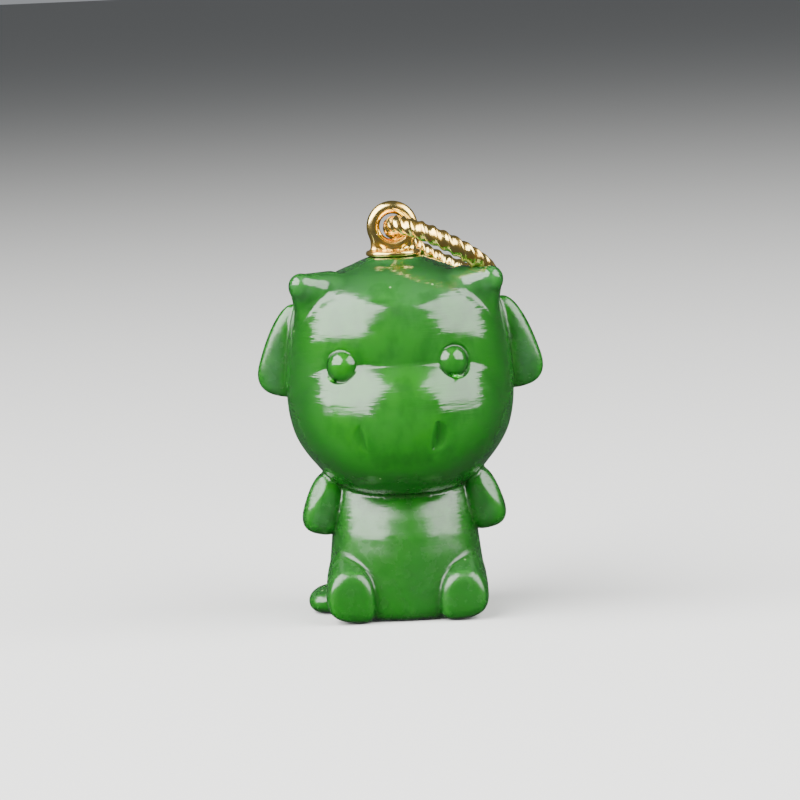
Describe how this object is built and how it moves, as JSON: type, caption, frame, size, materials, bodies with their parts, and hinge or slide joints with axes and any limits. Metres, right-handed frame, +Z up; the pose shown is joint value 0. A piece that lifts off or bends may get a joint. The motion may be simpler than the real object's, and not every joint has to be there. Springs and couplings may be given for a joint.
{
  "type": "jade pendant",
  "caption": "Small green jade calf that stands on its base, with a gold loop on its crown and a twisted gold ring for a chain or cord.",
  "frame": {"origin": "middle of the flat base, on the surface that the figure stands on", "axes": "+Z up through the crown, -Y out of the face, +X towards the side that the ring lies on"},
  "size_m": [0.0172, 0.0122, 0.0252],
  "materials": {
    "jade": "polished translucent green jade",
    "gold": "polished yellow gold"
  },
  "bodies": {
    "figure": {"jade_calf": "jade", "gold_eye": "gold"},
    "ring": {"twisted_ring": "gold"}
  },
  "joints": [
    {"name": "ring_swing", "type": "hinge", "parent": "figure", "child": "ring", "pos_m": [0, 0.0007, 0.02363], "axis": [0, -0.9588, 0.284], "range_deg": [0, 236]}
  ]
}
